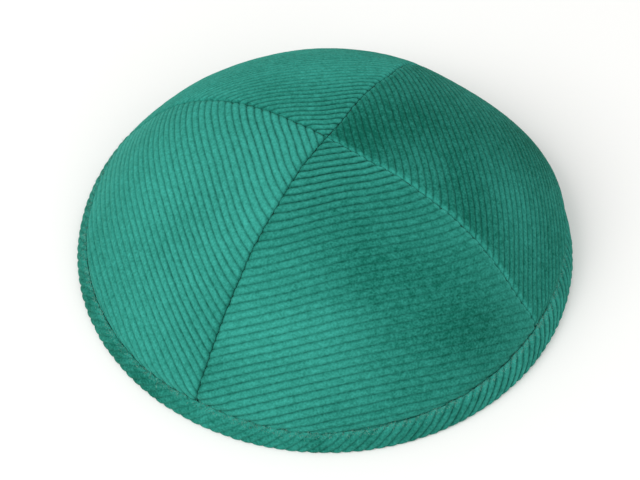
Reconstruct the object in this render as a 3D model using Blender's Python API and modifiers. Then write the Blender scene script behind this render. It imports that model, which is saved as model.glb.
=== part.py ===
"""Corduroy kippah: four gores of wide-wale corduroy and a bias-cut binding round the rim.

Metres, +Z up. The origin is on the surface that the rim rests on, under the middle of the crown.
The front gore's middle faces -Y.
"""
import math

import bmesh
import bpy
import numpy as np
from mathutils import Vector

# Outer form
RIM_DIAMETER = 0.168          # across the binding, where it rests
CROWN_HEIGHT = 0.0555         # from the surface it rests on to the point where the gores meet

# Cloth
PANEL_CLOTH = 0.0018          # corduroy of the gores, backing to the top of a wale
WALE_PITCH = 0.00254          # ten wales to the inch
WALE_RELIEF = 0.0005          # top of a wale to the bottom of the groove beside it
FIRST_GROOVE = 0.0022         # from the crown point to the first groove, along a gore's middle

# Binding
BINDING_CLOTH = 0.00125       # the strip, thinner than the gores because it is pressed flat
BINDING_WIDTH = 0.0078        # how far it reaches up the outside
BINDING_INSIDE = 0.0052       # how far it reaches up the inside
TUCK_LENGTH = 0.011           # over this length above the binding the gores fill out again

# Sewn edges
CLEARANCE = 0.0003            # left between one layer of cloth and the next

# Form of the crown, as pure ratios
SHOULDER = 0.70               # how square the side view's shoulder is: a ball has 1
CROWN_FALL = 1.97             # how the crown falls away from its top: a ball has 1
CORNER_AT_TOP = 1.30          # plan section at the top: 1 is a square with its corners on the seams
CORNER_AT_RIM = 2.0           # plan section at the rim: 2 is a circle
CORNER_FADE = 3.0             # how fast the corners fade below the top

# Each gore: its quarter turns from the front, and how much fuller it is at mid height,
# as a share of its radius there
GORES = (
    {"name": "panel_front", "turns": 0, "fullness": 0.0},
    {"name": "panel_right", "turns": 1, "fullness": 0.059},
    {"name": "panel_back", "turns": 2, "fullness": 0.0},
    {"name": "panel_left", "turns": 3, "fullness": 0.0},
)

# How a wale bows across its gore: 0 is straight, 1 follows a circle round the crown point.
# "down" is the wale's place, as a share of the way from the crown point to the rim.
WALE_BOW = (
    {"down": 0.00, "bow": 0.60},
    {"down": 0.20, "bow": 0.36},
    {"down": 0.35, "bow": 0.18},
    {"down": 0.60, "bow": 0.17},
    {"down": 0.80, "bow": 0.24},
    {"down": 1.00, "bow": 0.26},
)

# Outside of the binding's section, from the fold at the bottom to the folded upper edge:
# "up" as a share of the width, "in" as a share of the cloth's thickness
BINDING_SECTION = (
    {"up": 0.07, "in": 0.05},
    {"up": 0.28, "in": 0.00},
    {"up": 0.72, "in": 0.00},
    {"up": 0.94, "in": 0.22},
    {"up": 1.00, "in": 0.60},
)

FOLD_IN = 0.30                # where the flat of the fold starts, as a share of the cloth's thickness
TIP_UP = 0.97                 # the folded edge's inner corner, as a share of the width

# Fineness
COLUMNS = 10                  # strips across a gore
INSIDE_ROWS = 14              # rows down the plain inside of a gore
SMOOTH_ANGLE = math.radians(38)

# Colours of the cloth, linear
CORDUROY_GREEN = (0.018, 0.235, 0.185, 1.0)
BINDING_GREEN = (0.014, 0.190, 0.150, 1.0)

RIM_RADIUS = RIM_DIAMETER / 2
HEM_THICKNESS = 2 * (BINDING_CLOTH + CLEARANCE) + PANEL_CLOTH   # the binding, a gore, the binding
HALF_GORE = math.radians(45)
MERGE = 2e-6                  # corners closer than this are one


def wall_slope():
    """Angle of the crown's wall to the level where it meets the rim."""
    return math.atan(CROWN_HEIGHT * CROWN_FALL / (SHOULDER * RIM_RADIUS))


def side_view():
    """The side view at a seam: radius and height for each angle from the crown point (0) to the rim."""
    angle = np.linspace(0, math.pi / 2, 600)
    radius = RIM_RADIUS * np.sin(angle) ** SHOULDER
    height = CROWN_HEIGHT * np.clip(np.cos(angle), 0, 1) ** CROWN_FALL
    return angle, radius, height


def corner_power(height):
    return CORNER_AT_RIM + (CORNER_AT_TOP - CORNER_AT_RIM) * (height / CROWN_HEIGHT) ** CORNER_FADE


def middle_lengths():
    """Length of cloth from the crown point along the middle of a plain gore, for each angle."""
    angle, radius, height = side_view()
    power = corner_power(height)
    radius = radius * 2 ** (0.5 - 1 / power)
    steps = np.hypot(np.diff(radius), np.diff(height))
    return angle, np.concatenate([[0], np.cumsum(steps)])


ANGLES, LENGTHS = middle_lengths()
GORE_LENGTH = LENGTHS[-1]


def inner_foot():
    """How far up the wall its inside meets the level that the rim rests on."""
    return HEM_THICKNESS / math.tan(wall_slope())


def filled_out(down):
    """0 where the binding holds the gores and one wale above it, 1 where they have filled out."""
    held = max(BINDING_WIDTH, inner_foot() + BINDING_INSIDE) + WALE_PITCH
    above = GORE_LENGTH - held - down
    share = min(max(above / TUCK_LENGTH, 0), 1)
    return share * share * (3 - 2 * share)


def crown_point(down, across, fullness):
    """Point of the outer form in the front gore: `down` metres of cloth from the crown point,
    `across` radians from the gore's middle. Past the rim the wall runs straight on."""
    angle = np.interp(down, LENGTHS, ANGLES)
    height = CROWN_HEIGHT * max(math.cos(angle), 0) ** CROWN_FALL
    share = height / CROWN_HEIGHT
    power = corner_power(height)
    seam = across + HALF_GORE
    corner = (abs(math.cos(seam)) ** power + abs(math.sin(seam)) ** power) ** (-1 / power)
    swell = 1 + fullness * filled_out(down) * math.sin(2 * seam) ** 2 * 4 * share * (1 - share)
    radius = RIM_RADIUS * math.sin(angle) ** SHOULDER * corner * swell
    past = max(down - GORE_LENGTH, 0)
    radius += past * math.cos(wall_slope())
    height -= past * math.sin(wall_slope())
    return Vector((radius * math.sin(across), -radius * math.cos(across), height))


def crown_normal(down, across, fullness):
    """Outward direction of the outer form there: straight up at the crown point itself."""
    step = GORE_LENGTH * 1e-3
    turn = math.radians(0.5)
    if down < step:
        return Vector((0, 0, 1))
    along = crown_point(down + step, across, fullness) - crown_point(down - step, across, fullness)
    round_it = crown_point(down, across + turn, fullness) - crown_point(down, across - turn, fullness)
    return along.cross(round_it).normalized()


def wale_place(middle, across):
    """Where the wale that crosses the gore's middle at `middle` passes the angle `across`."""
    bow = np.interp(middle / GORE_LENGTH, [row["down"] for row in WALE_BOW],
                    [row["bow"] for row in WALE_BOW])
    return middle / math.sqrt(math.cos(across) ** 2 + bow * math.sin(across) ** 2)


def outside_rows():
    """Rows of the gore's outside as (place along the middle, depth): the crown point, then a groove
    and the top of a wale by turns, until a row that lies past the rim everywhere."""
    rows = [(0.0, 0.0), (FIRST_GROOVE - WALE_PITCH / 2, 0.0)]
    rows = [row for row in rows if row[0] >= 0]
    place = FIRST_GROOVE
    while place < GORE_LENGTH + WALE_PITCH:
        rows.append((place, WALE_RELIEF))
        rows.append((place + WALE_PITCH / 2, 0.0))
        place += WALE_PITCH
    return rows


def inside_rows():
    """Rows of the plain inside: evenly spaced, as deep as the cloth is thick."""
    spacing = (GORE_LENGTH + WALE_PITCH) / INSIDE_ROWS
    return [(spacing * row, PANEL_CLOTH) for row in range(INSIDE_ROWS + 1)]


def layer(bm, rows, fullness):
    """One face of the cloth: a grid, bent to the crown."""
    grid = bmesh.ops.create_grid(bm, x_segments=COLUMNS, y_segments=len(rows) - 1, size=0.5)
    for vert in grid["verts"]:
        across = vert.co.x * 2 * HALF_GORE
        middle, depth = rows[round((vert.co.y + 0.5) * (len(rows) - 1))]
        down = wale_place(middle, across)
        outward = crown_normal(down, across, fullness)
        tuck = (BINDING_CLOTH + CLEARANCE) * (1 - filled_out(down))
        vert.co = crown_point(down, across, fullness) - outward * (tuck + depth)


def on_seam(vert, side):
    """Whether a corner lies on the plane of the seam at the gore's side (-1 or 1)."""
    across = Vector((1, side, 0)).normalized()
    return abs(vert.co.dot(across)) < MERGE and vert.co.x * side > -MERGE


def face_between(bm, belongs):
    """Close the slot between the two layers where `belongs` is true, with one flat face."""
    rim = [edge for edge in bm.edges if len(edge.link_faces) < 2 and all(map(belongs, edge.verts))]
    bmesh.ops.edgeloop_fill(bm, edges=rim)


def panel_mesh(name, fullness):
    """One gore: ribbed outside, plain inside, cut flat along both seams and at its lower edge."""
    foot = BINDING_CLOTH + CLEARANCE
    bm = bmesh.new()
    for rows in (outside_rows(), inside_rows()):
        layer(bm, rows, fullness)
    bmesh.ops.remove_doubles(bm, verts=bm.verts, dist=MERGE)
    bmesh.ops.bisect_plane(bm, geom=bm.verts[:] + bm.edges[:] + bm.faces[:], dist=MERGE,
                           plane_co=(0, 0, foot), plane_no=(0, 0, 1), clear_inner=True)

    def at_foot(vert):
        return abs(vert.co.z - foot) < MERGE

    def at_top(vert):
        return vert.co.xy.length < MERGE

    # The short edges through the cloth: at the crown point and at the two lower corners
    ends = [at_top] + [lambda vert, side=side: at_foot(vert) and on_seam(vert, side) for side in (-1, 1)]
    for end in ends:
        bm.edges.new([vert for vert in bm.verts if end(vert)])
    for side in (-1, 1):
        face_between(bm, lambda vert, side=side: on_seam(vert, side))
    face_between(bm, at_foot)
    bmesh.ops.recalc_face_normals(bm, faces=bm.faces)
    mesh = bpy.data.meshes.new(name)
    bm.to_mesh(mesh)
    bm.free()
    return mesh


def panel(gore, colour):
    """A gore, turned to its place and moved out so that half the clearance lies on each seam."""
    mesh = panel_mesh(gore["name"], gore["fullness"])
    turn = gore["turns"] * math.pi / 2
    outward = CLEARANCE / 2 / math.cos(HALF_GORE)
    obj = add_object(gore["name"], mesh, colour)
    obj.rotation_euler = (0, 0, turn)
    obj.location = (outward * math.sin(turn), -outward * math.cos(turn), 0)
    return obj


def wall_point(up, depth):
    """Radius and height of a point of the wall: `up` metres along it from its foot, `depth` inside it."""
    down = GORE_LENGTH - up
    place = crown_point(down, HALF_GORE, 0) - crown_normal(down, HALF_GORE, 0) * depth
    return place.xy.length, place.z


def level_point(height, depth):
    """Where the layer `depth` inside the wall passes the level `height`."""
    up = (height + depth * math.cos(wall_slope())) / math.sin(wall_slope())
    radius = RIM_RADIUS - up * math.cos(wall_slope()) - depth * math.sin(wall_slope())
    return radius, height


def binding_outline():
    """Closed outline of the folded strip: down its outside, across the fold, up its inside, and back
    through the channel that holds the gores."""
    fold = FOLD_IN * BINDING_CLOTH
    far_layer = HEM_THICKNESS - BINDING_CLOTH
    outside = [wall_point(row["up"] * BINDING_WIDTH, row["in"] * BINDING_CLOTH)
               for row in reversed(BINDING_SECTION)]
    inside = [wall_point(inner_foot() + row["up"] * BINDING_INSIDE,
                         HEM_THICKNESS - row["in"] * BINDING_CLOTH) for row in BINDING_SECTION]
    channel = [
        wall_point(inner_foot() + TIP_UP * BINDING_INSIDE, far_layer),
        level_point(BINDING_CLOTH, far_layer),
        level_point(BINDING_CLOTH, BINDING_CLOTH),
        wall_point(TIP_UP * BINDING_WIDTH, BINDING_CLOTH),
    ]
    return outside + [level_point(0, fold), level_point(0, HEM_THICKNESS - fold)] + inside + channel


def binding(colour):
    """The folded strip: its outline turned once round the rim."""
    outline = binding_outline()
    mesh = bpy.data.meshes.new("rim_binding")
    corners = [(radius, 0, height) for radius, height in outline]
    edges = [(index, (index + 1) % len(corners)) for index in range(len(corners))]
    mesh.from_pydata(corners, edges, [])
    obj = add_object("rim_binding", mesh, colour)
    screw = obj.modifiers.new("Turn", 'SCREW')
    screw.axis = 'Z'
    screw.angle = 2 * math.pi
    screw.steps = screw.render_steps = 4 * COLUMNS
    screw.use_merge_vertices = True
    screw.merge_threshold = MERGE
    screw.use_smooth_shade = True
    return obj


def cloth(name, colour):
    """Matt cotton velvet: rough, with the soft edge light of its pile."""
    material = bpy.data.materials.new(name)
    material.use_nodes = True
    shader = material.node_tree.nodes["Principled BSDF"]
    shader.inputs["Base Color"].default_value = colour
    shader.inputs["Roughness"].default_value = 0.9
    shader.inputs["Metallic"].default_value = 0.0
    shader.inputs["Sheen Weight"].default_value = 0.5
    material.diffuse_color = colour
    return material


def add_object(name, mesh, material):
    mesh.materials.append(material)
    obj = bpy.data.objects.new(name, mesh)
    PARTS.objects.link(obj)
    return obj


def main():
    corduroy = cloth("green_corduroy", CORDUROY_GREEN)
    strip = cloth("green_corduroy_on_the_bias", BINDING_GREEN)
    for gore in GORES:
        obj = panel(gore, corduroy)
        obj.data.shade_smooth()
        obj.data.set_sharp_from_angle(angle=SMOOTH_ANGLE)
    binding(strip)


for old in list(bpy.data.objects):
    bpy.data.objects.remove(old, do_unlink=True)
PARTS = bpy.data.collections.new("corduroy_kippah")
bpy.context.scene.collection.children.link(PARTS)
main()
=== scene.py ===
"""Corduroy kippah, dressed: four gores of wide-wale corduroy and a bias binding round the rim.

Laid out as a Blender add-on and run as a script. Metres, +Z up. The origin is on the surface that the
rim rests on, under the middle of the crown, and the front gore's middle faces -Y.
"""

import math

import bmesh
import bpy
import numpy as np
from bpy.props import FloatProperty, FloatVectorProperty, IntProperty, PointerProperty
from mathutils import Matrix, Vector


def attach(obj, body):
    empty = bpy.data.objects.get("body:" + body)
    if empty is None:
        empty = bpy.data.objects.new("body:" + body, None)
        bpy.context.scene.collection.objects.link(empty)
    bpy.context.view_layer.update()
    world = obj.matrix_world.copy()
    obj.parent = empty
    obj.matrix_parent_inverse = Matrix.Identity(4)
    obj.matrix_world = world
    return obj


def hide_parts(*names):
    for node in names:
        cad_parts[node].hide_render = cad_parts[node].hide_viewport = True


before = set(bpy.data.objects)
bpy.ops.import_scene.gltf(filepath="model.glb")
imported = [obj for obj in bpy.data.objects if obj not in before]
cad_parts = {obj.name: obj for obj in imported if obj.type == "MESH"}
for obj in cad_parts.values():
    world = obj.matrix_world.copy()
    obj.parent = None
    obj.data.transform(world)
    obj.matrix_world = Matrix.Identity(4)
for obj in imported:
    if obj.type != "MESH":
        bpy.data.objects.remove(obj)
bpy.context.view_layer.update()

bl_info = {
    "name": "Corduroy Kippah",
    "version": (1, 0, 0),
    "blender": (4, 5, 0),
    "location": "3D View > Sidebar > Kippah",
    "description": "Four corduroy gores, a bias binding and their cloth materials",
    "category": "Add Mesh",
}


# Form of the crown, as in the CAD: pure ratios

SHOULDER = 0.70               # how square the side view's shoulder is: a ball has 1
CROWN_FALL = 1.97             # how the crown falls away from its top: a ball has 1
CORNER_AT_TOP = 1.30          # plan section at the top: 1 is a square with its corners on the seams
CORNER_AT_RIM = 2.0           # plan section at the rim: 2 is a circle
CORNER_FADE = 3.0             # how fast the corners fade below the top
HALF_GORE = math.radians(45)
FOLD_IN = 0.30                # where the flat of the binding's fold starts, as a share of its cloth
TIP_UP = 0.97                 # the folded edge's inner corner, as a share of the width
CLEARANCE = 0.0003            # between one layer of cloth and the next, under the binding
SEAM_GAP = 0.00004            # between two gores where they are sewn together
HELD_BELOW = 0.0012           # the gores start to fill out this far below the binding's upper edge
MERGE = 2e-6                  # corners closer than this are one
DRAPE_LENGTH = 0.05           # the crown's unevenness changes over this length
NAP_LIGHT_AND_SHADE_LENGTH = 0.03             # and a gore's painted light and shade, for the lean of its pile, over this one
SEAM_HOLD = 0.003             # this near a seam the cloth turns in square to it
SEAM_LIGHT_REACH = 0.0011       # this near a seam the pile carries painted highlight and shade
PUCKER_LENGTH = 0.006         # from one pucker of a seam to the next
PRESSED_LENGTH = 0.004        # above the gores' feet, where the binding presses the seams flat
WANDER = 0.0006               # how far a wale strays sideways
BIAS_PITCH = 0.00254          # from wale to wale in the binding, square to them: ten to the inch
BINDING_WIDTHS = (0.007, 0.0105)   # the two outlines between which the binding's width varies
EDGE_WAVER_LENGTH = 0.009     # the binding's upper edge wavers over this length
EDGE_WAVER = 0.00022          # and by this much
EDGE_HIGHLIGHT_REACH = 0.0016       # this near the upper edge its pile carries a painted highlight
BINDING_LIGHT_AND_SHADE_LENGTH = 0.02     # its painted light and shade, for the lean of its pile, changes over this length
RING_DEPTH = 0.0055           # the outside of the binding lies within this of the rim's radius
FIBRE_LENGTH = 0.0008         # of a loose fibre end
FIBRE_THICKNESS = 0.00007     # its radius: cotton has 0.01 mm, drawn seven times as thick so that it shows
FIBRES_EACH_MM2 = 5.0         # along the binding's upper edge, where they stand closest
FIBRE_BAND = 0.0008           # they thin out over this height above and below it

# Each gore: its quarter turns from the front; its fullness at mid height; the places of some of its
# grooves down its middle, as (number, mm from the crown point); how far its wales tilt, as a share;
# the lean of its pile, drawn as painted light and shade, from 1 palest to -1 darkest; and how its wales
# run, as rows of (share of the way down, bow left and right of the middle, clearness of the grooves left
# and right). A bow of 0 is straight and 1 follows a circle round the crown point. Where the pile is
# brushed over the grooves they are less clear.
GORES = (
    {"name": "panel_front", "turns": 0, "fullness": 0.0, "tilt": 0.0, "nap_light_and_shade": 0.0, "seed": 11,
     "grooves": ((0, 2.55), (6, 17.4), (16, 42.0), (26, 66.8), (37, 95.3), (48, 124)),
     "course": ((0.00, 0.60, 0.74, 1.00, 1.00), (0.12, 0.56, 0.72, 1.00, 1.00),
                (0.20, 0.48, 0.64, 0.90, 0.75), (0.28, 0.32, 0.52, 0.62, 0.55),
                (0.36, 0.24, 0.44, 0.45, 0.36), (0.52, 0.20, 0.40, 0.45, 0.18),
                (0.60, 0.20, 0.30, 0.47, 0.18), (0.76, 0.24, 0.28, 0.60, 0.22),
                (1.00, 0.25, 0.33, 0.65, 0.32))},
    {"name": "panel_right", "turns": 1, "fullness": 0.059, "tilt": 0.0, "nap_light_and_shade": -0.5, "seed": 23,
     "grooves": ((0, 3.7), (3, 10.4), (10, 25.8), (19, 44.8), (37, 86.2), (50, 117)),
     "course": ((0.00, 0.52, 0.48, 0.50, 0.50), (0.20, 0.46, 0.36, 0.50, 0.50),
                (0.28, 0.36, 0.28, 0.50, 0.55), (0.36, 0.16, 0.16, 0.52, 0.52),
                (0.52, 0.08, 0.14, 0.45, 0.40), (0.68, 0.06, 0.20, 0.42, 0.35),
                (1.00, 0.30, 0.30, 0.35, 0.30))},
    {"name": "panel_back", "turns": 2, "fullness": 0.0, "tilt": 0.14, "nap_light_and_shade": 0.1, "seed": 37,
     "grooves": ((0, 3.0), (8, 20.3), (50, 113)),
     "course": ((0.00, 0.30, 0.30, 1.00, 0.85), (0.20, 0.30, 0.30, 0.85, 0.65),
                (0.28, 0.30, 0.30, 0.50, 0.50), (0.36, 0.30, 0.25, 0.35, 0.35),
                (1.00, 0.25, 0.25, 0.30, 0.30))},
    {"name": "panel_left", "turns": 3, "fullness": 0.0, "tilt": 0.0, "nap_light_and_shade": 0.45, "seed": 41,
     "grooves": ((0, 3.3), (6, 17.7), (12, 32.1), (22, 55.9), (30, 75.5), (37, 94.0), (47, 121)),
     "course": ((0.00, 0.40, 0.70, 0.65, 0.60), (0.20, 0.40, 0.60, 0.65, 0.55),
                (0.28, 0.40, 0.44, 0.50, 0.52), (0.44, 0.36, 0.28, 0.35, 0.58),
                (0.60, 0.36, 0.20, 0.20, 0.65), (0.76, 0.26, 0.17, 0.18, 0.45),
                (1.00, 0.18, 0.15, 0.18, 0.35))},
)

# Rows over half a wale, from the bottom of the groove (0) to the top of the wale (1)
WALE_ROWS = (0.0, 0.09, 0.20, 0.38, 0.65, 1.0)

# Columns over one wale of the binding, from groove to groove
BIAS_COLUMNS = (0.0, 0.05, 0.13, 0.27, 0.5, 0.73, 0.87, 0.95)

# How far each seam strays from a straight cut, as (share of the way down, mm), counter-clockwise seen
# from above. The seams are named for the gore that lies clockwise of them.
SEAM_SWAY = {
    0: ((0.06, -0.6), (0.125, -1.2), (0.22, -0.7), (0.31, -0.8), (0.40, -0.25), (0.54, 0.1),
        (0.75, 0.2), (0.88, 0.9), (1.0, 0.6)),
    1: ((0.07, -0.5), (0.13, -0.1), (0.22, -0.3), (0.33, -1.0), (0.49, 0.2), (1.0, 0.2)),
    2: ((0.05, -0.35), (0.11, -0.55), (0.17, -0.8), (0.24, -0.9), (0.50, -0.8), (0.6, -0.65),
        (1.0, -0.3)),
    3: ((0.05, -0.2), (0.12, -0.4), (0.20, 0.0), (0.28, 0.2), (0.41, 0.1), (0.50, 0.5), (0.65, 0.35),
        (1.0, 0.3)),
}

# Places where the cloth is pushed in or out, or its pile is brushed another way and drawn with painted
# light
# and shade: the gore, the share of the way down, degrees across, the patch's length down and across in mm,
# its depth in mm, and the change of painted light and shade
MARKS = (
    {"gore": 0, "down": 0.64, "across": 15, "size": (30, 30), "depth": 0.15, "nap_light_and_shade": -0.42},
    {"gore": 0, "down": 0.80, "across": 28, "size": (20, 22), "depth": 0.25, "nap_light_and_shade": -0.30},
    {"gore": 0, "down": 0.34, "across": 16, "size": (22, 16), "depth": 0.0, "nap_light_and_shade": -0.25},
    {"gore": 0, "down": 0.80, "across": -24, "size": (34, 22), "depth": -0.2, "nap_light_and_shade": 0.34},
    {"gore": 0, "down": 0.95, "across": 8, "size": (6, 40), "depth": 0.0, "nap_light_and_shade": 0.22},
    {"gore": 1, "down": 0.16, "across": 0, "size": (16, 14), "depth": 0.3, "nap_light_and_shade": -0.25},
    {"gore": 1, "down": 0.74, "across": -26, "size": (26, 16), "depth": -0.2, "nap_light_and_shade": 0.34},
    {"gore": 2, "down": 0.70, "across": 0, "size": (34, 60), "depth": 0.0, "nap_light_and_shade": 0.10},
    {"gore": 3, "down": 0.90, "across": 0, "size": (40, 80), "depth": 0.0, "nap_light_and_shade": -0.38},
    {"gore": 3, "down": 0.50, "across": -30, "size": (30, 16), "depth": 0.0, "nap_light_and_shade": -0.18},
)

# Painted highlight and shade along each seam, in the same order as the seams' sway: painted highlight where
# positive, painted shade where negative
SEAM_LIGHT_AND_SHADE = (0.9, 0.35, -0.3, -0.35)

# How wide the binding shows round the rim, as (degrees from the front, counter-clockwise; mm)
BINDING_REACH = ((-180, 8.2), (-95, 8.0), (-62, 7.6), (-42, 8.7), (-17, 7.5), (0, 8.7), (20, 9.2),
                 (38, 10.0), (60, 10.0), (95, 9.0), (180, 8.2))

# How the binding's pile leans, drawn as painted light and shade, and how clear its grooves are, as
# (degrees, painted light and shade, clearness)
BINDING_PILE = ((-180, -0.1, 0.6), (-90, -0.55, 0.2), (-60, -0.65, 0.25), (-38, -0.2, 0.25),
                (-12, -0.35, 0.5), (12, -0.2, 0.8), (35, 0.25, 1.0), (60, 0.15, 0.9), (90, -0.1, 0.7),
                (180, -0.1, 0.6))

# Soft lights: name, place, width and power in watts
LIGHTS = (
    ("key_left", (-1.1, -0.3, 1.1), 1.0, 14.0),
    ("fill_front", (0.5, -1.4, 1.0), 1.2, 5.0),
)
ROOM_LIGHT = 0.75             # brightness of the pale room round the stage
FLOOR_HALF = 3.0              # half the floor's side

# The camera, fitted to the photograph: turned about the object and raised, in degrees; its distance, and
# its target to the right of the middle and above the floor, in rim radii; its lens in mm; its roll
CAMERA = {"azimuth": -14.53, "elevation": 51.37, "distance": 8.0, "right": -0.02127, "above": 0.02704,
          "lens": 111.6017, "roll": 0.622}


def colour(code):
    """An sRGB hex colour as linear red, green, blue and alpha."""
    parts = [int(code[place:place + 2], 16) / 255 for place in (0, 2, 4)]
    linear = [part / 12.92 if part <= 0.04045 else ((part + 0.055) / 1.055) ** 2.4 for part in parts]
    return (*linear, 1.0)


def size_property(name, description, default):
    return FloatProperty(name=name, description=description, default=default, min=0.0,
                         subtype='DISTANCE', unit='LENGTH', precision=5)


def colour_property(name, description, code):
    return FloatVectorProperty(name=name, description=description, default=colour(code), size=4,
                               subtype='COLOR', min=0.0, max=1.0)


class KippahSizes(bpy.types.PropertyGroup):
    """Sizes of the cloth pieces."""
    rim_diameter: size_property("Rim diameter", "Across the binding, where it rests", 0.168)
    crown_height: size_property("Crown height", "From the surface it rests on to the crown point", 0.0555)
    panel_cloth: size_property("Panel cloth", "Thickness of the gores' corduroy", 0.0018)
    wale_relief: size_property("Wale relief", "Top of a wale to the bottom of its groove", 0.00062)
    seam_depth: size_property("Seam depth", "How deep the gores roll in at a seam", 0.00105)
    seam_reach: size_property("Seam reach", "How far from a seam the gores start to roll in", 0.0016)
    binding_cloth: size_property("Binding cloth", "Thickness of the folded strip", 0.00125)
    binding_width: size_property("Binding width", "How far the strip reaches up the outside", 0.0078)
    binding_inside: size_property("Binding inside", "How far it reaches up the inside", 0.0052)
    binding_relief: size_property("Binding relief", "Top of a wale to its groove in the strip", 0.00042)
    tuck_length: size_property("Tuck length", "The gores fill out over this length at the binding", 0.0048)
    rim_fullness: size_property("Rim fullness", "How far the wall swells above the rim", 0.0010)
    rim_fullness_height: size_property("Rim fullness height", "Where it swells most", 0.007)
    unevenness: size_property("Unevenness", "How far the crown's cloth strays from its even form", 0.0003)
    columns: IntProperty(name="Columns", description="Strips of mesh across a gore", default=144, min=12)


class KippahColours(bpy.types.PropertyGroup):
    """Colours of the cloth and of the studio."""
    # The pale and dark pile colours are lit and shaded copies of one pile colour: painted light and shade,
    # mixed by how the pile leans
    pile_lit: colour_property("Pale pile", "Pile seen along its nap", "3AA394")
    pile_shaded: colour_property("Dark pile", "Pile seen into its nap", "025A4A")
    # The groove colour is painted shade between the wales
    groove_shade: colour_property("Groove", "Cut ground between two wales", "02453A")
    backing: colour_property("Backing", "Woven back of the corduroy", "2C7A69")
    lint: colour_property("Lint", "Loose fibre ends", "8FC9B8")
    floor: colour_property("Floor", "Plain pale floor", "F4F4F2")


# The crown's surface

def wobble(place, length, seed):
    """Smooth random values of about -1 to 1 that change over `length` along `place`."""
    random = np.random.default_rng(seed)
    total = np.zeros_like(place)
    for share in (0.55, 0.8, 1.0, 1.3, 1.9):
        total += np.sin(2 * math.pi * place / (length * share) + random.uniform(0, 2 * math.pi))
    return total / 2.2


def drape(points, length, seed):
    """Smooth random values of about -1 to 1 over points in space: the slight unevenness of laid cloth."""
    random = np.random.default_rng(seed)
    total = np.zeros(points.shape[:-1])
    for _ in range(9):
        way = random.normal(size=3)
        way *= 2 * math.pi / (length * random.uniform(0.7, 1.6)) / np.linalg.norm(way)
        total += np.sin(points @ way + random.uniform(0, 2 * math.pi))
    return total / 3


class Crown:
    """The outer form of the crown, worked out from the sizes as in the CAD."""

    def __init__(self, sizes):
        self.sizes = sizes
        self.radius = sizes.rim_diameter / 2
        self.height = sizes.crown_height
        self.slope = math.atan(self.height * CROWN_FALL / (SHOULDER * self.radius))
        self.angles = np.linspace(0, math.pi / 2, 1200)
        height = self.height * np.clip(np.cos(self.angles), 0, 1) ** CROWN_FALL
        radius = self.radius * np.sin(self.angles) ** SHOULDER * 2 ** (0.5 - 1 / self.power(height))
        steps = np.hypot(np.diff(radius), np.diff(height))
        self.lengths = np.concatenate([[0], np.cumsum(steps)])
        self.length = self.lengths[-1]
        self.hem = 2 * (sizes.binding_cloth + CLEARANCE) + sizes.panel_cloth
        self.inner_foot = self.hem / math.tan(self.slope)
        self.tuck = sizes.binding_cloth + CLEARANCE

    def power(self, height):
        return CORNER_AT_RIM + (CORNER_AT_TOP - CORNER_AT_RIM) * (height / self.height) ** CORNER_FADE

    def reach(self, azimuth):
        """How far the binding reaches up the outside at angles round the rim from the front."""
        degrees = (np.degrees(azimuth) + 180) % 360 - 180
        places, widths = zip(*BINDING_REACH)
        return np.interp(degrees, places, widths) / 1000

    def filled_out(self, down, reach):
        """0 where a binding that reaches so far holds the gores, 1 where they have filled out above."""
        share = np.clip((self.length - reach + HELD_BELOW - down) / self.sizes.tuck_length, 0, 1)
        return share * share * (3 - 2 * share)

    def points(self, down, across, fullness):
        """Points of the form in the front gore: `down` metres of cloth from the crown point, `across`
        radians from the gore's middle."""
        angle = np.interp(down, self.lengths, self.angles)
        height = self.height * np.clip(np.cos(angle), 0, 1) ** CROWN_FALL
        share = height / self.height
        power = self.power(height)
        seam = across + HALF_GORE
        corner = (abs(np.cos(seam)) ** power + abs(np.sin(seam)) ** power) ** (-1 / power)
        filled = self.filled_out(down, self.sizes.binding_width)
        swell = 1 + fullness * filled * np.sin(2 * seam) ** 2 * 4 * share * (1 - share)
        past = np.maximum(down - self.length, 0)
        radius = self.radius * np.sin(angle) ** SHOULDER * corner * swell + past * math.cos(self.slope)
        rise = height / self.sizes.rim_fullness_height
        radius = radius + self.sizes.rim_fullness * rise * np.exp((1 - rise ** 2) / 2)
        height = height - past * math.sin(self.slope)
        return np.stack((radius * np.sin(across), -radius * np.cos(across), height), -1)

    def directions(self, down, across, fullness):
        """Unit vectors there: outward, and down the gore."""
        step, turn = self.length * 1e-3, math.radians(0.5)
        low = np.maximum(down, step)
        along = self.points(low + step, across, fullness) - self.points(low - step, across, fullness)
        round_it = self.points(low, across + turn, fullness) - self.points(low, across - turn, fullness)
        outward = unit(np.cross(along, round_it))
        outward[down < step] = (0, 0, 1)
        return outward, unit(along)

    def wall_point(self, up, depth):
        """Radius and height of a point of the wall, `up` metres along it and `depth` inside it."""
        down, across = np.array([self.length - up]), np.array([HALF_GORE])
        outward, _ = self.directions(down, across, 0)
        place = (self.points(down, across, 0) - outward * depth)[0]
        return math.hypot(place[0], place[1]), place[2]

    def wall_height(self, up):
        """Height of the wall's outside, `up` metres along it."""
        angle = np.interp(self.length - up, self.lengths, self.angles)
        return self.height * np.clip(np.cos(angle), 0, 1) ** CROWN_FALL

    def level_point(self, height, depth):
        """Where the layer `depth` inside the wall passes the level `height`."""
        up = (height + depth * math.cos(self.slope)) / math.sin(self.slope)
        return self.radius - up * math.cos(self.slope) - depth * math.sin(self.slope), height


def unit(vectors):
    return vectors / np.maximum(np.linalg.norm(vectors, axis=-1, keepdims=True), 1e-12)


def turned(points, angle):
    """Points or vectors turned about the Z axis, each by its own angle."""
    cos, sin = np.cos(angle), np.sin(angle)
    return np.stack((points[..., 0] * cos - points[..., 1] * sin,
                     points[..., 0] * sin + points[..., 1] * cos, points[..., 2]), -1)


# The mesh of a gore

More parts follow.
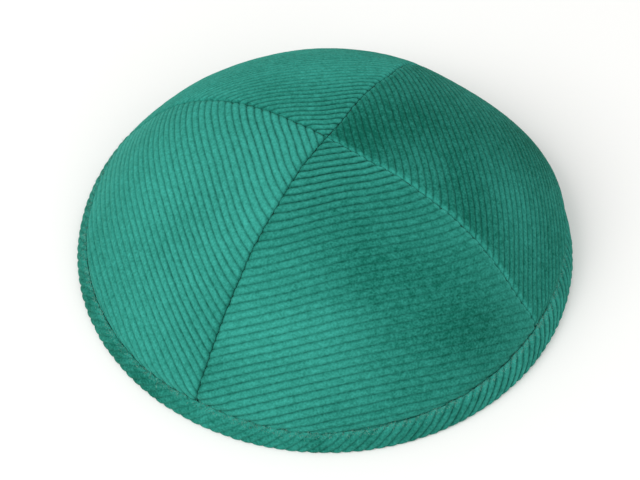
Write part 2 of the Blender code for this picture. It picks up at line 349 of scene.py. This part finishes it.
def wale_rows(gore, crown):
    """The gore's rows as (number of the wale, place along the gore's middle), past the rim everywhere."""
    half = [row / 2 for row in WALE_ROWS]
    shares = half + [1 - share for share in reversed(half[1:-1])]
    numbers, places = np.array(gore["grooves"]).T
    wales = np.array([number + share for number in range(-3, int(numbers[-1])) for share in shares])
    pitch = (places[1] - places[0]) / (numbers[1] - numbers[0])
    middles = (np.interp(wales, numbers, places) + np.minimum(wales, 0) * pitch) / 1000
    shown = (middles > WALE_ROWS[1] * pitch / 1000) & (middles < crown.length * 1.07)
    return np.concatenate([[[-places[0] / pitch, 0.0]], np.stack((wales, middles), -1)[shown]])


def gore_columns(count):
    """Angles across a gore, closer together towards the seams."""
    place = np.linspace(-1, 1, count + 1)
    eased = place * (1 + 0.42 * (1 - place ** 2) * place ** 2)
    return eased / eased[-1] * HALF_GORE


def wale_course(gore, middle, across, crown):
    """Where the wale that crosses the gore's middle at `middle` passes the angle `across`, and how clear
    its grooves are there."""
    downs, *courses = np.array(gore["course"]).T
    bow_left, bow_right, clear_left, clear_right = (np.interp(middle / crown.length, downs, course)
                                                    for course in courses)
    bow = np.where(across < 0, bow_left, bow_right)
    side = (np.sin(across / HALF_GORE * math.pi / 2) + 1) / 2
    down = middle / np.sqrt(np.cos(across) ** 2 + bow * np.sin(across) ** 2)
    return down * (1 + gore["tilt"] * np.sin(across)), clear_left * (1 - side) + clear_right * side


def sway(seam, down, crown):
    """How far a seam strays there, as an angle about the Z axis."""
    places, shifts = zip((0.0, 0.0), *SEAM_SWAY[seam % 4])
    shift = np.interp(down / crown.length, places, shifts) / 1000
    across = np.full_like(down, HALF_GORE)
    radius = np.linalg.norm(crown.points(down, across, 0)[..., :2], axis=-1)
    return shift / np.maximum(radius, 1e-3)


def gore_layer(gore, crown, down, across, depth, foot, rolled):
    """One face of the gore's cloth, `depth` inside the form and cut off at the level `foot`."""
    limit = crown.length - (foot + (depth + crown.tuck) * math.cos(crown.slope)) / math.sin(crown.slope)
    down = np.minimum(down, limit)
    surface = crown.points(down, across, gore["fullness"])
    outward, along = crown.directions(down, across, gore["fullness"])
    radius = np.linalg.norm(surface[..., :2], axis=-1)
    near = radius * (HALF_GORE - abs(across))
    side = np.where(across < 0, -HALF_GORE, HALF_GORE)
    off_seam = np.stack((np.cos(side), np.sin(side), np.zeros_like(side)), -1)
    held = np.exp(-(near / SEAM_HOLD) ** 2)[..., None]
    outward = unit(outward - off_seam * (outward * off_seam).sum(-1, keepdims=True) * held)
    turns = gore["turns"] * math.pi / 2
    filled = crown.filled_out(down, crown.reach(across + turns))
    inward = crown.tuck * (1 - filled) + depth
    laid = turned(surface, turns)
    inward = inward - crown.sizes.unevenness * drape(laid, DRAPE_LENGTH, 7) * filled
    # Painted light and shade for the lean of the pile: the gore's own, softly uneven, plus the marks'
    # patches below
    nap_light_and_shade = np.full_like(down, gore["nap_light_and_shade"]) + 0.14 * drape(laid, NAP_LIGHT_AND_SHADE_LENGTH, gore["seed"])
    for mark in MARKS:
        if GORES[mark["gore"]] is gore:
            far = np.hypot((down - mark["down"] * crown.length) * 1000 / mark["size"][0],
                           radius * (across - math.radians(mark["across"])) * 1000 / mark["size"][1])
            inward = inward + mark["depth"] / 1000 * np.exp(-far ** 2)
            nap_light_and_shade = nap_light_and_shade + mark["nap_light_and_shade"] * np.exp(-far ** 2)
    # Painted highlight along the seams with positive values, painted shade along the others
    seam_light_and_shade = np.where(across < 0, SEAM_LIGHT_AND_SHADE[gore["turns"] - 1], SEAM_LIGHT_AND_SHADE[gore["turns"]])
    nap_light_and_shade = nap_light_and_shade + seam_light_and_shade * np.exp(-(near / SEAM_LIGHT_REACH) ** 2)
    if rolled:
        share = np.clip(1 - near / crown.sizes.seam_reach, 0, 1)
        pucker = 1 + 0.30 * wobble(down, PUCKER_LENGTH, 91 + gore["turns"])
        pressed = np.clip((limit - down) / PRESSED_LENGTH, 0, 1)
        inward = inward + crown.sizes.seam_depth * (1 - np.sqrt(1 - share ** 2)) * pucker * pressed
    place = surface - outward * inward[..., None]
    share = across / (2 * HALF_GORE) + 0.5
    left, right = (sway(seam, down, crown) for seam in (gore["turns"] - 1, gore["turns"]))
    turn = turns + left * (1 - share) + right * share
    middle = np.array([math.sin(turns), -math.cos(turns), 0]) * SEAM_GAP / 2 / math.cos(HALF_GORE)
    return {"place": turned(place, turn) + middle, "outward": turned(outward, turn),
            "along": turned(along, turn), "nap_light_and_shade": nap_light_and_shade}


def gore_base(gore, crown):
    """The gore's closed shell before its wales are raised: a fine outside, a coarser inside, and the
    cut edges between them. Its points carry the wale's number, the outward and downward directions,
    the share of the relief and the painted light and shade for the lean of the pile."""
    sizes = crown.sizes
    wales, middles = wale_rows(gore, crown).T
    angles = gore_columns(sizes.columns)
    middle, across = np.meshgrid(middles, angles, indexing='ij')
    down, clear = wale_course(gore, middle, across, crown)
    foot = sizes.binding_cloth + CLEARANCE
    outer = gore_layer(gore, crown, down, across, 0.0, foot, True)
    inner = gore_layer(gore, crown, down, across, sizes.panel_cloth, foot, False)
    rows, columns = down.shape
    picked_rows = sorted({*range(0, rows, 5), rows - 1})
    picked_columns = sorted({*range(0, columns, 6), columns - 1})
    pick = np.ix_(picked_rows, picked_columns)

    number = np.arange(rows * columns).reshape(rows, columns)
    inside = number.size + np.arange(len(picked_rows) * len(picked_columns)).reshape(
        len(picked_rows), len(picked_columns))
    faces = quads(number) + [face[::-1] for face in quads(inside)]
    outside_count = (rows - 1) * (columns - 1)
    for column, inner_column in ((0, 0), (columns - 1, -1)):
        for step in range(len(picked_rows) - 1):
            upper, lower = picked_rows[step], picked_rows[step + 1]
            faces.append([*number[upper:lower + 1, column], inside[step + 1, inner_column],
                          inside[step, inner_column]])
    for step in range(len(picked_columns) - 1):
        first, last = picked_columns[step], picked_columns[step + 1]
        faces.append([*number[-1, first:last + 1], inside[-1, step + 1], inside[-1, step]])

    def both(name):
        width = outer[name].shape[2:] if outer[name].ndim > 2 else ()
        return np.concatenate([outer[name].reshape(-1, *width), inner[name][pick].reshape(-1, *width)])

    started = np.clip(middle / sizes.wale_relief / 4, 0, 1)
    relief = np.concatenate([(started * (0.5 + 0.5 * clear)).ravel(), np.zeros(inside.size)])
    clear = np.concatenate([clear.ravel(), np.zeros(inside.size)])
    wale = np.concatenate([np.repeat(wales, columns), np.zeros(inside.size)])
    values = {"wale": wale, "relief": relief, "clear": clear, "nap_light_and_shade": both("nap_light_and_shade"),
              "outward": both("outward"), "along": both("along")}
    return closed_mesh(gore["name"], both("place"), faces, outside_count, values)


def quads(number):
    """Faces of a grid of corner numbers, facing outward where rows go down and columns go right."""
    corners = (number[:-1, :-1], number[1:, :-1], number[1:, 1:], number[:-1, 1:])
    return np.stack(corners, -1).reshape(-1, 4).tolist()


def closed_mesh(name, places, faces, outside_count, values):
    """A closed mesh whose first `outside_count` faces are the outside. Doubles are merged, the edge
    between outside and inside is kept sharp, and each named value is stored on the points."""
    mesh = bpy.data.meshes.new(name)
    mesh.from_pydata(places.tolist(), [], faces)
    for value_name, value in values.items():
        kind, field = ('FLOAT', "value") if value.ndim == 1 else ('FLOAT_VECTOR', "vector")
        attribute = mesh.attributes.new(value_name, kind, 'POINT')
        attribute.data.foreach_set(field, value.astype(np.float32).ravel())
    outside = mesh.attributes.new("outside", 'FLOAT', 'FACE')
    flags = np.zeros(len(faces), np.float32)
    flags[:outside_count] = 1
    outside.data.foreach_set("value", flags)
    bm = bmesh.new()
    bm.from_mesh(mesh)
    bmesh.ops.remove_doubles(bm, verts=bm.verts, dist=MERGE)
    bmesh.ops.recalc_face_normals(bm, faces=bm.faces)
    layer = bm.faces.layers.float["outside"]
    for face in bm.faces:
        face.smooth = True
    for edge in bm.edges:
        edge.smooth = len({face[layer] > 0.5 for face in edge.link_faces}) == 1
    bm.to_mesh(mesh)
    bm.free()
    return mesh


# The mesh of the binding

def binding_outline(crown, width):
    """The folded strip's outline, closed, as rows of (radius, height, distance along the strip from its
    upper outside edge, 1 on the strip's pile side): down its outside, across the fold, up its inside,
    and back through the channel that holds the gores."""
    sizes = crown.sizes
    cloth, hem = sizes.binding_cloth, crown.hem

    def roll(up):
        """How deep the strip's face lies, as a share of its cloth: full in the middle, rolled in at
        its edge."""
        edge = np.clip((up - 0.60) / 0.40, 0, 1)
        return 0.90 * (1 - math.sqrt(1 - edge ** 2)) - 0.18 * math.sin(math.pi * up) ** 2

    outer_rows = 1 - np.concatenate([[0.0, 0.006, 0.02, 0.045], np.linspace(0.08, 0.94, 17)])
    outside = [crown.wall_point(up * width, roll(up) * cloth) for up in outer_rows]
    inside = [crown.wall_point(crown.inner_foot + up * sizes.binding_inside, hem - roll(up) * cloth)
              for up in 1 - np.linspace(0.93, 0, 13)]
    fold = FOLD_IN * cloth
    bottom = [crown.level_point(0.00012, fold * 0.7), crown.level_point(0, fold * 1.5),
              crown.level_point(0, hem / 2), crown.level_point(0, hem - fold * 1.5),
              crown.level_point(0.00012, hem - fold * 0.7)]
    shown = outside + bottom + inside
    far_layer = hem - cloth
    channel = [crown.wall_point(crown.inner_foot + TIP_UP * sizes.binding_inside, far_layer),
               crown.level_point(cloth, far_layer), crown.level_point(cloth, cloth),
               crown.wall_point(TIP_UP * width, cloth)]
    steps = [math.dist(one, other) for one, other in zip(shown, shown[1:])]
    along = [0.0, *np.cumsum(steps)]
    back = np.linspace(along[-1], 0, len(channel) + 2)[1:-1]
    return np.array([(*point, place, 1) for point, place in zip(shown, along)]
                    + [(*point, place, 0) for point, place in zip(channel, back)])


def binding_base(crown):
    """The binding's closed ring before its wales are raised. Its columns lean with the wales, because
    the strip is cut at 45 degrees to them."""
    narrow, wide = (binding_outline(crown, width) for width in BINDING_WIDTHS)
    outline = (narrow + wide) / 2
    wales = round(2 * math.pi * crown.radius / (BIAS_PITCH * math.sqrt(2)))
    shares = np.concatenate([np.array(BIAS_COLUMNS) + number for number in range(wales)])
    turn, row = np.meshgrid(shares / wales * 2 * math.pi, np.arange(len(outline)), indexing='ij')
    azimuth = turn - outline[row, 2] / crown.radius
    width = crown.reach(azimuth) + wobble(azimuth * crown.radius, EDGE_WAVER_LENGTH, 5) * EDGE_WAVER
    share = (width - BINDING_WIDTHS[0]) / (BINDING_WIDTHS[1] - BINDING_WIDTHS[0])
    radius, height, along, shown = (narrow[row, part] * (1 - share) + wide[row, part] * share
                                    for part in range(4))
    place = np.stack((radius * np.sin(azimuth), -radius * np.cos(azimuth), height), -1)

    ahead = np.roll(outline[:, :2], -1, axis=0) - np.roll(outline[:, :2], 1, axis=0)
    normal = unit(np.stack((-ahead[:, 1], ahead[:, 0]), -1))[row]
    level, rise = normal[..., 0], normal[..., 1]
    outward = np.stack((level * np.sin(azimuth), -level * np.cos(azimuth), rise), -1)
    around = np.stack((np.cos(azimuth), np.sin(azimuth), np.zeros_like(azimuth)), -1)
    wale = np.repeat(shares[:, None], len(outline), 1)
    # Painted highlight along the rolled upper edge, where the grooves are also drawn less clear
    edge = np.exp(-(along / EDGE_HIGHLIGHT_REACH) ** 2)
    degrees = (np.degrees(azimuth) + 180) % 360 - 180
    # The binding's painted light and shade for the lean of its pile, round the rim and softly uneven
    places, light_and_shade_values, clears = zip(*BINDING_PILE)
    uneven = wobble(azimuth * crown.radius, BINDING_LIGHT_AND_SHADE_LENGTH, 17)
    nap_light_and_shade = np.interp(degrees, places, light_and_shade_values) + 0.55 * edge + 0.12 * uneven
    number = np.arange(place.shape[0] * place.shape[1]).reshape(place.shape[:2])
    ring = np.concatenate([number, number[:1]])
    ring = np.concatenate([ring, ring[:, :1]], 1)
    faces = quads(ring.T)
    clear = np.interp(degrees, places, clears) * (1 - 0.6 * edge)
    plain = {"wale": wale, "relief": shown, "clear": clear, "nap_light_and_shade": nap_light_and_shade}
    values = {name: value.ravel() for name, value in plain.items()}
    values.update({"outward": outward.reshape(-1, 3), "along": around.reshape(-1, 3)})
    return closed_mesh("rim_binding", place.reshape(-1, 3), faces, len(faces), values)


# Node trees

def node(tree, kind, feeds=None, **settings):
    """Add a node. `settings` are its properties; `feeds` are its inputs by name or number, each a value,
    a socket to link from, or a node whose first output is linked."""
    made = tree.nodes.new(kind)
    for name, value in settings.items():
        setattr(made, name, value)
    for key, value in (feeds or {}).items():
        if isinstance(value, bpy.types.Node):
            value = value.outputs[0]
        if isinstance(value, bpy.types.NodeSocket):
            tree.links.new(value, made.inputs[key])
        else:
            made.inputs[key].default_value = value
    return made


def geometry_tree(name, inputs):
    """A new tree that takes a geometry and the named inputs, and gives a geometry."""
    tree = bpy.data.node_groups.new(name, 'GeometryNodeTree')
    tree.interface.new_socket("Geometry", in_out='INPUT', socket_type='NodeSocketGeometry')
    for label, kind in inputs.items():
        tree.interface.new_socket(label, in_out='INPUT', socket_type='NodeSocket' + kind)
    tree.interface.new_socket("Geometry", in_out='OUTPUT', socket_type='NodeSocketGeometry')
    return tree


def wale_tree():
    """Raises the wales of corduroy on a mesh that carries each point's wale number and directions,
    and stores the painted shade of the grooves between them.
    """
    tree = geometry_tree("raise_wales", {"Relief": 'Float', "Sharpness": 'Float', "Tuft": 'Float',
                                         "Wander": 'Float', "Seed": 'Float', "Pile": 'Material',
                                         "Backing": 'Material'})
    given = node(tree, 'NodeGroupInput').outputs
    wale, relief, clear, outside = (
        node(tree, 'GeometryNodeInputNamedAttribute', {"Name": name}, data_type='FLOAT')
        for name in ("wale", "relief", "clear", "outside"))
    outward, along = (
        node(tree, 'GeometryNodeInputNamedAttribute', {"Name": name}, data_type='FLOAT_VECTOR')
        for name in ("outward", "along"))
    tufts, lumps, bends = (
        node(tree, 'ShaderNodeTexNoise', {"W": given["Seed"], "Scale": 1 / size, "Detail": detail},
             noise_dimensions='4D')
        for size, detail in ((0.0012, 1.0), (0.004, 0.0), (0.005, 1.0)))

    # 1 in the middle of a groove, 0 on top of a wale
    half = node(tree, 'ShaderNodeMath', {0: wale, 1: 0.5}, operation='PINGPONG')
    low = node(tree, 'ShaderNodeMath', {0: half, 1: -2.0, 2: 1.0}, operation='MULTIPLY_ADD')

    # Up and down: the groove, and tufts of uneven length
    shape = node(tree, 'ShaderNodeMath', {0: low, 1: given["Sharpness"]}, operation='POWER')
    sunk = node(tree, 'ShaderNodeMath', {0: shape, 1: given["Relief"]}, operation='MULTIPLY')
    both = node(tree, 'ShaderNodeMath', {0: tufts, 1: lumps}, operation='ADD')
    uneven = node(tree, 'ShaderNodeMath', {0: both, 1: 1.0}, operation='SUBTRACT')
    longer = node(tree, 'ShaderNodeMath', {0: uneven, 1: given["Tuft"]}, operation='MULTIPLY')
    raised = node(tree, 'ShaderNodeMath', {0: longer, 1: sunk}, operation='SUBTRACT')
    height = node(tree, 'ShaderNodeMath', {0: raised, 1: relief}, operation='MULTIPLY')
    up = node(tree, 'ShaderNodeVectorMath', {0: outward, "Scale": height}, operation='SCALE')

    # Sideways: wales aren't quite straight
    bent = node(tree, 'ShaderNodeMath', {0: bends, 1: 0.5}, operation='SUBTRACT')
    wander = node(tree, 'ShaderNodeMath', {0: bent, 1: given["Wander"]}, operation='MULTIPLY')
    shift = node(tree, 'ShaderNodeMath', {0: wander, 1: relief}, operation='MULTIPLY')
    aside = node(tree, 'ShaderNodeVectorMath', {0: along, "Scale": shift}, operation='SCALE')
    offset = node(tree, 'ShaderNodeVectorMath', {0: up, 1: aside})
    moved = node(tree, 'GeometryNodeSetPosition', {"Geometry": given["Geometry"], "Offset": offset})

    # Painted shade in the grooves: how dark each is drawn, less where it is less clear
    narrow = node(tree, 'ShaderNodeMath', {0: low, 1: 2.6}, operation='POWER')
    shade = node(tree, 'ShaderNodeMath', {0: narrow, 1: clear}, operation='MULTIPLY')
    kept = node(tree, 'GeometryNodeStoreNamedAttribute',
                {"Geometry": moved, "Name": "groove_shade", "Value": shade})
    real = node(tree, 'GeometryNodeRealizeInstances', {"Geometry": kept})
    whole = node(tree, 'GeometryNodeSetMaterial', {"Geometry": real, "Material": given["Backing"]})
    faced = node(tree, 'GeometryNodeSetMaterial', {"Geometry": whole, "Selection": outside,
                                                   "Material": given["Pile"]})
    node(tree, 'NodeGroupOutput', {"Geometry": faced})
    return tree


def made_real(name, mesh, tree, inputs):
    """An object whose mesh is what the node tree makes of `mesh`, with no modifier left on it."""
    source = bpy.data.objects.new(name + "_source", mesh)
    bpy.context.scene.collection.objects.link(source)
    modifier = source.modifiers.new("Nodes", 'NODES')
    modifier.node_group = tree
    sockets = {item.name: item.identifier for item in tree.interface.items_tree if item.in_out == 'INPUT'}
    for label, value in inputs.items():
        modifier[sockets[label]] = value
    graph = bpy.context.evaluated_depsgraph_get()
    finished = bpy.data.meshes.new_from_object(source.evaluated_get(graph), preserve_all_data_layers=True,
                                               depsgraph=graph)
    bpy.data.objects.remove(source)
    finished.name = name
    obj = bpy.data.objects.new(name, finished)
    bpy.context.scene.collection.objects.link(obj)
    return obj


def fuzz_tree():
    """Stands short loose fibre ends on a mesh, as many as its points' "fuzz" says for each square mm."""
    tree = geometry_tree("loose_fibres", {"Length": 'Float', "Thickness": 'Float', "Lean": 'Float',
                                          "Seed": 'Int', "Fibre": 'Material'})
    given = node(tree, 'NodeGroupInput').outputs
    density = node(tree, 'GeometryNodeInputNamedAttribute', {"Name": "fuzz"}, data_type='FLOAT')
    each_metre = node(tree, 'ShaderNodeMath', {0: density, 1: 1e6}, operation='MULTIPLY')
    spread = node(tree, 'GeometryNodeDistributePointsOnFaces',
                  {"Mesh": given["Geometry"], "Density": each_metre, "Seed": given["Seed"]})
    fibre = node(tree, 'GeometryNodeMeshCone',
                 {"Vertices": 3, "Side Segments": 1, "Radius Top": 0.000004,
                  "Radius Bottom": given["Thickness"], "Depth": given["Length"]})
    lean = node(tree, 'ShaderNodeMath', {0: given["Lean"], 1: -1.0}, operation='MULTIPLY')
    least = node(tree, 'ShaderNodeCombineXYZ', {0: lean, 1: lean, 2: -3.2})
    most = node(tree, 'ShaderNodeCombineXYZ', {0: given["Lean"], 1: given["Lean"], 2: 3.2})
    tilt = node(tree, 'FunctionNodeRandomValue', {"Min": least, "Max": most, "Seed": given["Seed"]},
                data_type='FLOAT_VECTOR')
    turn = node(tree, 'FunctionNodeRotateRotation',
                {"Rotation": spread.outputs["Rotation"], "Rotate By": tilt}, rotation_space='LOCAL')
    size = node(tree, 'FunctionNodeRandomValue', {2: 0.45, 3: 1.35, "Seed": given["Seed"]},
                data_type='FLOAT')
    stood = node(tree, 'GeometryNodeInstanceOnPoints',
                 {"Points": spread, "Instance": fibre, "Rotation": turn, "Scale": size.outputs[1]})
    real = node(tree, 'GeometryNodeRealizeInstances', {"Geometry": stood})
    faced = node(tree, 'GeometryNodeSetMaterial', {"Geometry": real, "Material": given["Fibre"]})
    node(tree, 'NodeGroupOutput', {"Geometry": faced})
    return tree


def with_fuzz(obj, density):
    """A copy of a finished piece's mesh whose points say how many fibre ends stand there on a square mm:
    `density` turns the mesh's points, as an array, into those numbers."""
    mesh = obj.data.copy()
    places = np.empty(len(mesh.vertices) * 3, np.float32)
    mesh.vertices.foreach_get("co", places)
    fuzz = mesh.attributes.new("fuzz", 'FLOAT', 'POINT')
    fuzz.data.foreach_set("value", density(mesh, places.reshape(-1, 3)).astype(np.float32))
    return mesh


# Materials

def material(name, values):
    """A new material with these constant values on its shader."""
    made = bpy.data.materials.new(name)
    made.use_nodes = True
    shader = made.node_tree.nodes["Principled BSDF"]
    for label, value in values.items():
        shader.inputs[label].default_value = value
    return made, made.node_tree, shader


def cut_pile(name, colours):
    """Cotton corduroy, its pile cut and brushed: matt, with soft light at grazing angles, painted shade
    between the wales, and painted light and shade for the lean of the pile, paler with it and darker
    against it."""
    made, tree, shader = material(name, {
        "Roughness": 0.95, "Specular IOR Level": 0.12, "Sheen Weight": 0.16, "Sheen Roughness": 0.45,
        "Sheen Tint": colour("5FB08E")})
    place = node(tree, 'ShaderNodeTexCoord').outputs["Object"]
    nap_light_and_shade = node(tree, 'ShaderNodeAttribute', attribute_name="nap_light_and_shade").outputs["Fac"]
    groove_shade = node(tree, 'ShaderNodeAttribute', attribute_name="groove_shade").outputs["Fac"]
    # tufts are 0.3 mm across: drawn at 0.7 mm so that they show
    grain = node(tree, 'ShaderNodeTexNoise', {"Vector": place, "Scale": 1 / 0.0007, "Detail": 3.0})
    mottle = node(tree, 'ShaderNodeTexNoise', {"Vector": place, "Scale": 1 / 0.0024, "Detail": 2.0})
    breaks = node(tree, 'ShaderNodeTexNoise', {"Vector": place, "Scale": 1 / 0.0013, "Detail": 1.0})

    # Painted light and shade for the lean of the pile, from 0 shaded to 1 lit, with random mottle and tufts
    # added
    nap_light = node(tree, 'ShaderNodeMath', {0: nap_light_and_shade, 1: 0.5, 2: -0.3}, operation='MULTIPLY_ADD')
    light_and_mottle = node(tree, 'ShaderNodeMath', {0: mottle, 1: 0.5, 2: nap_light}, operation='MULTIPLY_ADD')
    light_mottle_and_tufts = node(tree, 'ShaderNodeMath', {0: grain, 1: 1.1, 2: light_and_mottle}, operation='MULTIPLY_ADD')
    pile = node(tree, 'ShaderNodeMix', {0: light_mottle_and_tufts, 6: colours.pile_shaded, 7: colours.pile_lit},
                data_type='RGBA')

    # Painted shade between the wales: the groove colour, broken into dashes by noise
    broken = node(tree, 'ShaderNodeMath', {0: breaks, 1: 1.6, 2: 0.15}, operation='MULTIPLY_ADD')
    shown = node(tree, 'ShaderNodeMath', {0: groove_shade, 1: broken}, operation='MULTIPLY')
    shaded = node(tree, 'ShaderNodeMix', {0: shown, 6: pile.outputs[2], 7: colours.groove_shade},
                  data_type='RGBA')
    bump = node(tree, 'ShaderNodeBump', {"Height": grain, "Strength": 0.55, "Distance": 0.0004})
    tree.links.new(shaded.outputs[2], shader.inputs["Base Color"])
    tree.links.new(bump.outputs[0], shader.inputs["Normal"])
    return made


def woven_backing(name, colours):
    """The corduroy's plain-woven cotton back: matt, with fine crossing threads."""
    made, tree, shader = material(name, {"Roughness": 0.9, "Specular IOR Level": 0.2, "Sheen Weight": 0.1})
    place = node(tree, 'ShaderNodeTexCoord').outputs["Object"]
    # threads are 0.35 mm apart: drawn at 0.9 mm so that they show
    warp, weft = (
        node(tree, 'ShaderNodeTexWave', {"Vector": place, "Scale": 2 * math.pi / 20 / 0.0009,
                                         "Distortion": 1.2, "Detail": 1.0, "Detail Scale": 2.0},
             bands_direction=direction).outputs["Fac"]
        for direction in ('X', 'Y'))
    weave = node(tree, 'ShaderNodeMath', {0: warp, 1: weft}, operation='MULTIPLY')
    between = [part * 0.62 for part in colours.backing[:3]] + [1]
    tint = node(tree, 'ShaderNodeMix', {0: weave, 6: between, 7: colours.backing}, data_type='RGBA')
    bump = node(tree, 'ShaderNodeBump', {"Height": weave, "Strength": 0.5, "Distance": 0.0003})
    tree.links.new(tint.outputs[2], shader.inputs["Base Color"])
    tree.links.new(bump.outputs[0], shader.inputs["Normal"])
    return made


def loose_fibre(name, colours):
    """Ends of dyed cotton fibre: matt, and a little paler than the pile they come from."""
    made, tree, shader = material(name, {"Roughness": 0.9, "Specular IOR Level": 0.1})
    place = node(tree, 'ShaderNodeTexCoord').outputs["Object"]
    shade = node(tree, 'ShaderNodeTexNoise', {"Vector": place, "Scale": 1 / 0.0012, "Detail": 1.0})
    tint = node(tree, 'ShaderNodeMix', {0: shade, 6: colours.pile_shaded, 7: colours.lint},
                data_type='RGBA')
    tree.links.new(tint.outputs[2], shader.inputs["Base Color"])
    return made


# Operators

def finish_piece(obj, nodes):
    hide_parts(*nodes)
    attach(obj, "root")


class KIPPAH_OT_gores(bpy.types.Operator):
    """Make the four corduroy gores"""
    bl_idname = "kippah.gores"
    bl_label = "Make gores"

    def execute(self, context):
        sizes, colours = context.scene.kippah_sizes, context.scene.kippah_colours
        crown = Crown(sizes)
        pile = cut_pile("corduroy_cut_pile", colours)
        backing = woven_backing("corduroy_woven_back", colours)
        tree = wale_tree()
        for gore in GORES:
            obj = made_real(gore["name"] + "_cloth", gore_base(gore, crown), tree,
                            {"Relief": sizes.wale_relief, "Sharpness": 3.2, "Tuft": 0.00022,
                             "Wander": WANDER, "Seed": float(gore["seed"]), "Pile": pile,
                             "Backing": backing})
            finish_piece(obj, [gore["name"]])
        return {'FINISHED'}


class KIPPAH_OT_binding(bpy.types.Operator):
    """Make the bias-cut binding round the rim"""
    bl_idname = "kippah.binding"
    bl_label = "Make binding"

    def execute(self, context):
        sizes, colours = context.scene.kippah_sizes, context.scene.kippah_colours
        pile = cut_pile("bias_corduroy_cut_pile", colours)
        obj = made_real("rim_binding_cloth", binding_base(Crown(sizes)), wale_tree(),
                        {"Relief": sizes.binding_relief, "Sharpness": 2.4, "Tuft": 0.0003,
                         "Wander": WANDER, "Seed": 3.0, "Pile": pile, "Backing": pile})
        finish_piece(obj, ["rim_binding"])
        return {'FINISHED'}


class KIPPAH_OT_fuzz(bpy.types.Operator):
    """Stand loose fibre ends along the binding's upper edge"""
    bl_idname = "kippah.fuzz"
    bl_label = "Make loose fibres"

    def execute(self, context):
        crown = Crown(context.scene.kippah_sizes)
        fibre = loose_fibre("loose_cotton_fibre", context.scene.kippah_colours)

        def along_edge(mesh, places):
            azimuth = np.arctan2(places[:, 0], -places[:, 1])
            above = places[:, 2] - crown.wall_height(crown.reach(azimuth))
            pile_side = np.array([value.value for value in mesh.attributes["relief"].data]) > 0.5
            outer = np.hypot(places[:, 0], places[:, 1]) > crown.radius - RING_DEPTH
            near = np.exp(-((above + FIBRE_BAND / 2) / FIBRE_BAND) ** 2)
            return FIBRES_EACH_MM2 * near * pile_side * outer

        mesh = with_fuzz(bpy.data.objects["rim_binding_cloth"], along_edge)
        obj = made_real("loose_fibres_on_binding", mesh, fuzz_tree(),
                        {"Length": FIBRE_LENGTH, "Thickness": FIBRE_THICKNESS, "Lean": 1.3, "Seed": 4,
                         "Fibre": fibre})
        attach(obj, "root")
        return {'FINISHED'}


class KIPPAH_OT_stage(bpy.types.Operator):
    """Make the floor, the soft lights and the camera"""
    bl_idname = "kippah.stage"
    bl_label = "Make stage"

    def execute(self, context):
        scene = context.scene
        floor_mesh = bpy.data.meshes.new("floor")
        corners = [(x * FLOOR_HALF, y * FLOOR_HALF, 0) for x, y in ((-1, -1), (1, -1), (1, 1), (-1, 1))]
        floor_mesh.from_pydata(corners, [], [(0, 1, 2, 3)])
        floor = bpy.data.objects.new("floor", floor_mesh)
        scene.collection.objects.link(floor)
        paper, _, _ = material("matt_pale_paper", {"Base Color": scene.kippah_colours.floor,
                                                   "Roughness": 0.9, "Specular IOR Level": 0.1})
        floor_mesh.materials.append(paper)
        world = bpy.data.worlds.new("studio")
        world.use_nodes = True
        world.node_tree.nodes["Background"].inputs["Color"].default_value = (1, 1, 1, 1)
        world.node_tree.nodes["Background"].inputs["Strength"].default_value = ROOM_LIGHT
        scene.world = world
        scene.view_settings.view_transform = 'Standard'
        for name, place, size, power in LIGHTS:
            light = bpy.data.lights.new(name, 'AREA')
            light.size = size
            light.energy = power
            lamp = bpy.data.objects.new(name, light)
            lamp.location = place
            lamp.rotation_euler = (Vector((0, 0, 0.03)) - Vector(place)).to_track_quat('-Z', 'Y').to_euler()
            scene.collection.objects.link(lamp)
        add_camera(scene)
        return {'FINISHED'}


def add_camera(scene):
    radius = scene.kippah_sizes.rim_diameter / 2
    azimuth, elevation = math.radians(CAMERA["azimuth"]), math.radians(CAMERA["elevation"])
    right = Vector((math.cos(azimuth), math.sin(azimuth), 0))
    back = Vector((math.sin(azimuth) * math.cos(elevation), -math.cos(azimuth) * math.cos(elevation),
                   math.sin(elevation)))
    target = right * CAMERA["right"] * radius + Vector((0, 0, CAMERA["above"] * radius))
    turn = Matrix((right, back.cross(right), back)).transposed().to_4x4()
    data = bpy.data.cameras.new("camera")
    data.lens = CAMERA["lens"]
    data.sensor_width = 36
    camera = bpy.data.objects.new("camera", data)
    camera.matrix_world = (Matrix.Translation(target + back * CAMERA["distance"] * radius) @ turn
                           @ Matrix.Rotation(math.radians(CAMERA["roll"]), 4, 'Z'))
    scene.collection.objects.link(camera)
    scene.camera = camera


class KIPPAH_PT_panel(bpy.types.Panel):
    """Sizes, colours and steps of the kippah"""
    bl_idname = "KIPPAH_PT_panel"
    bl_label = "Corduroy Kippah"
    bl_space_type = 'VIEW_3D'
    bl_region_type = 'UI'
    bl_category = "Kippah"

    def draw(self, context):
        for group in (context.scene.kippah_sizes, context.scene.kippah_colours):
            box = self.layout.box()
            for name in group.__annotations__:
                box.prop(group, name)
        for operator in OPERATORS:
            self.layout.operator(operator.bl_idname)


OPERATORS = (KIPPAH_OT_gores, KIPPAH_OT_binding, KIPPAH_OT_fuzz, KIPPAH_OT_stage)
CLASSES = (KippahSizes, KippahColours, *OPERATORS, KIPPAH_PT_panel)


def register():
    for kind in CLASSES:
        bpy.utils.register_class(kind)
    bpy.types.Scene.kippah_sizes = PointerProperty(type=KippahSizes)
    bpy.types.Scene.kippah_colours = PointerProperty(type=KippahColours)


def unregister():
    del bpy.types.Scene.kippah_colours
    del bpy.types.Scene.kippah_sizes
    for kind in reversed(CLASSES):
        bpy.utils.unregister_class(kind)


def main():
    register()
    bpy.ops.kippah.gores()
    bpy.ops.kippah.binding()
    bpy.ops.kippah.fuzz()
    bpy.ops.kippah.stage()


if __name__ == "__main__":
    main()
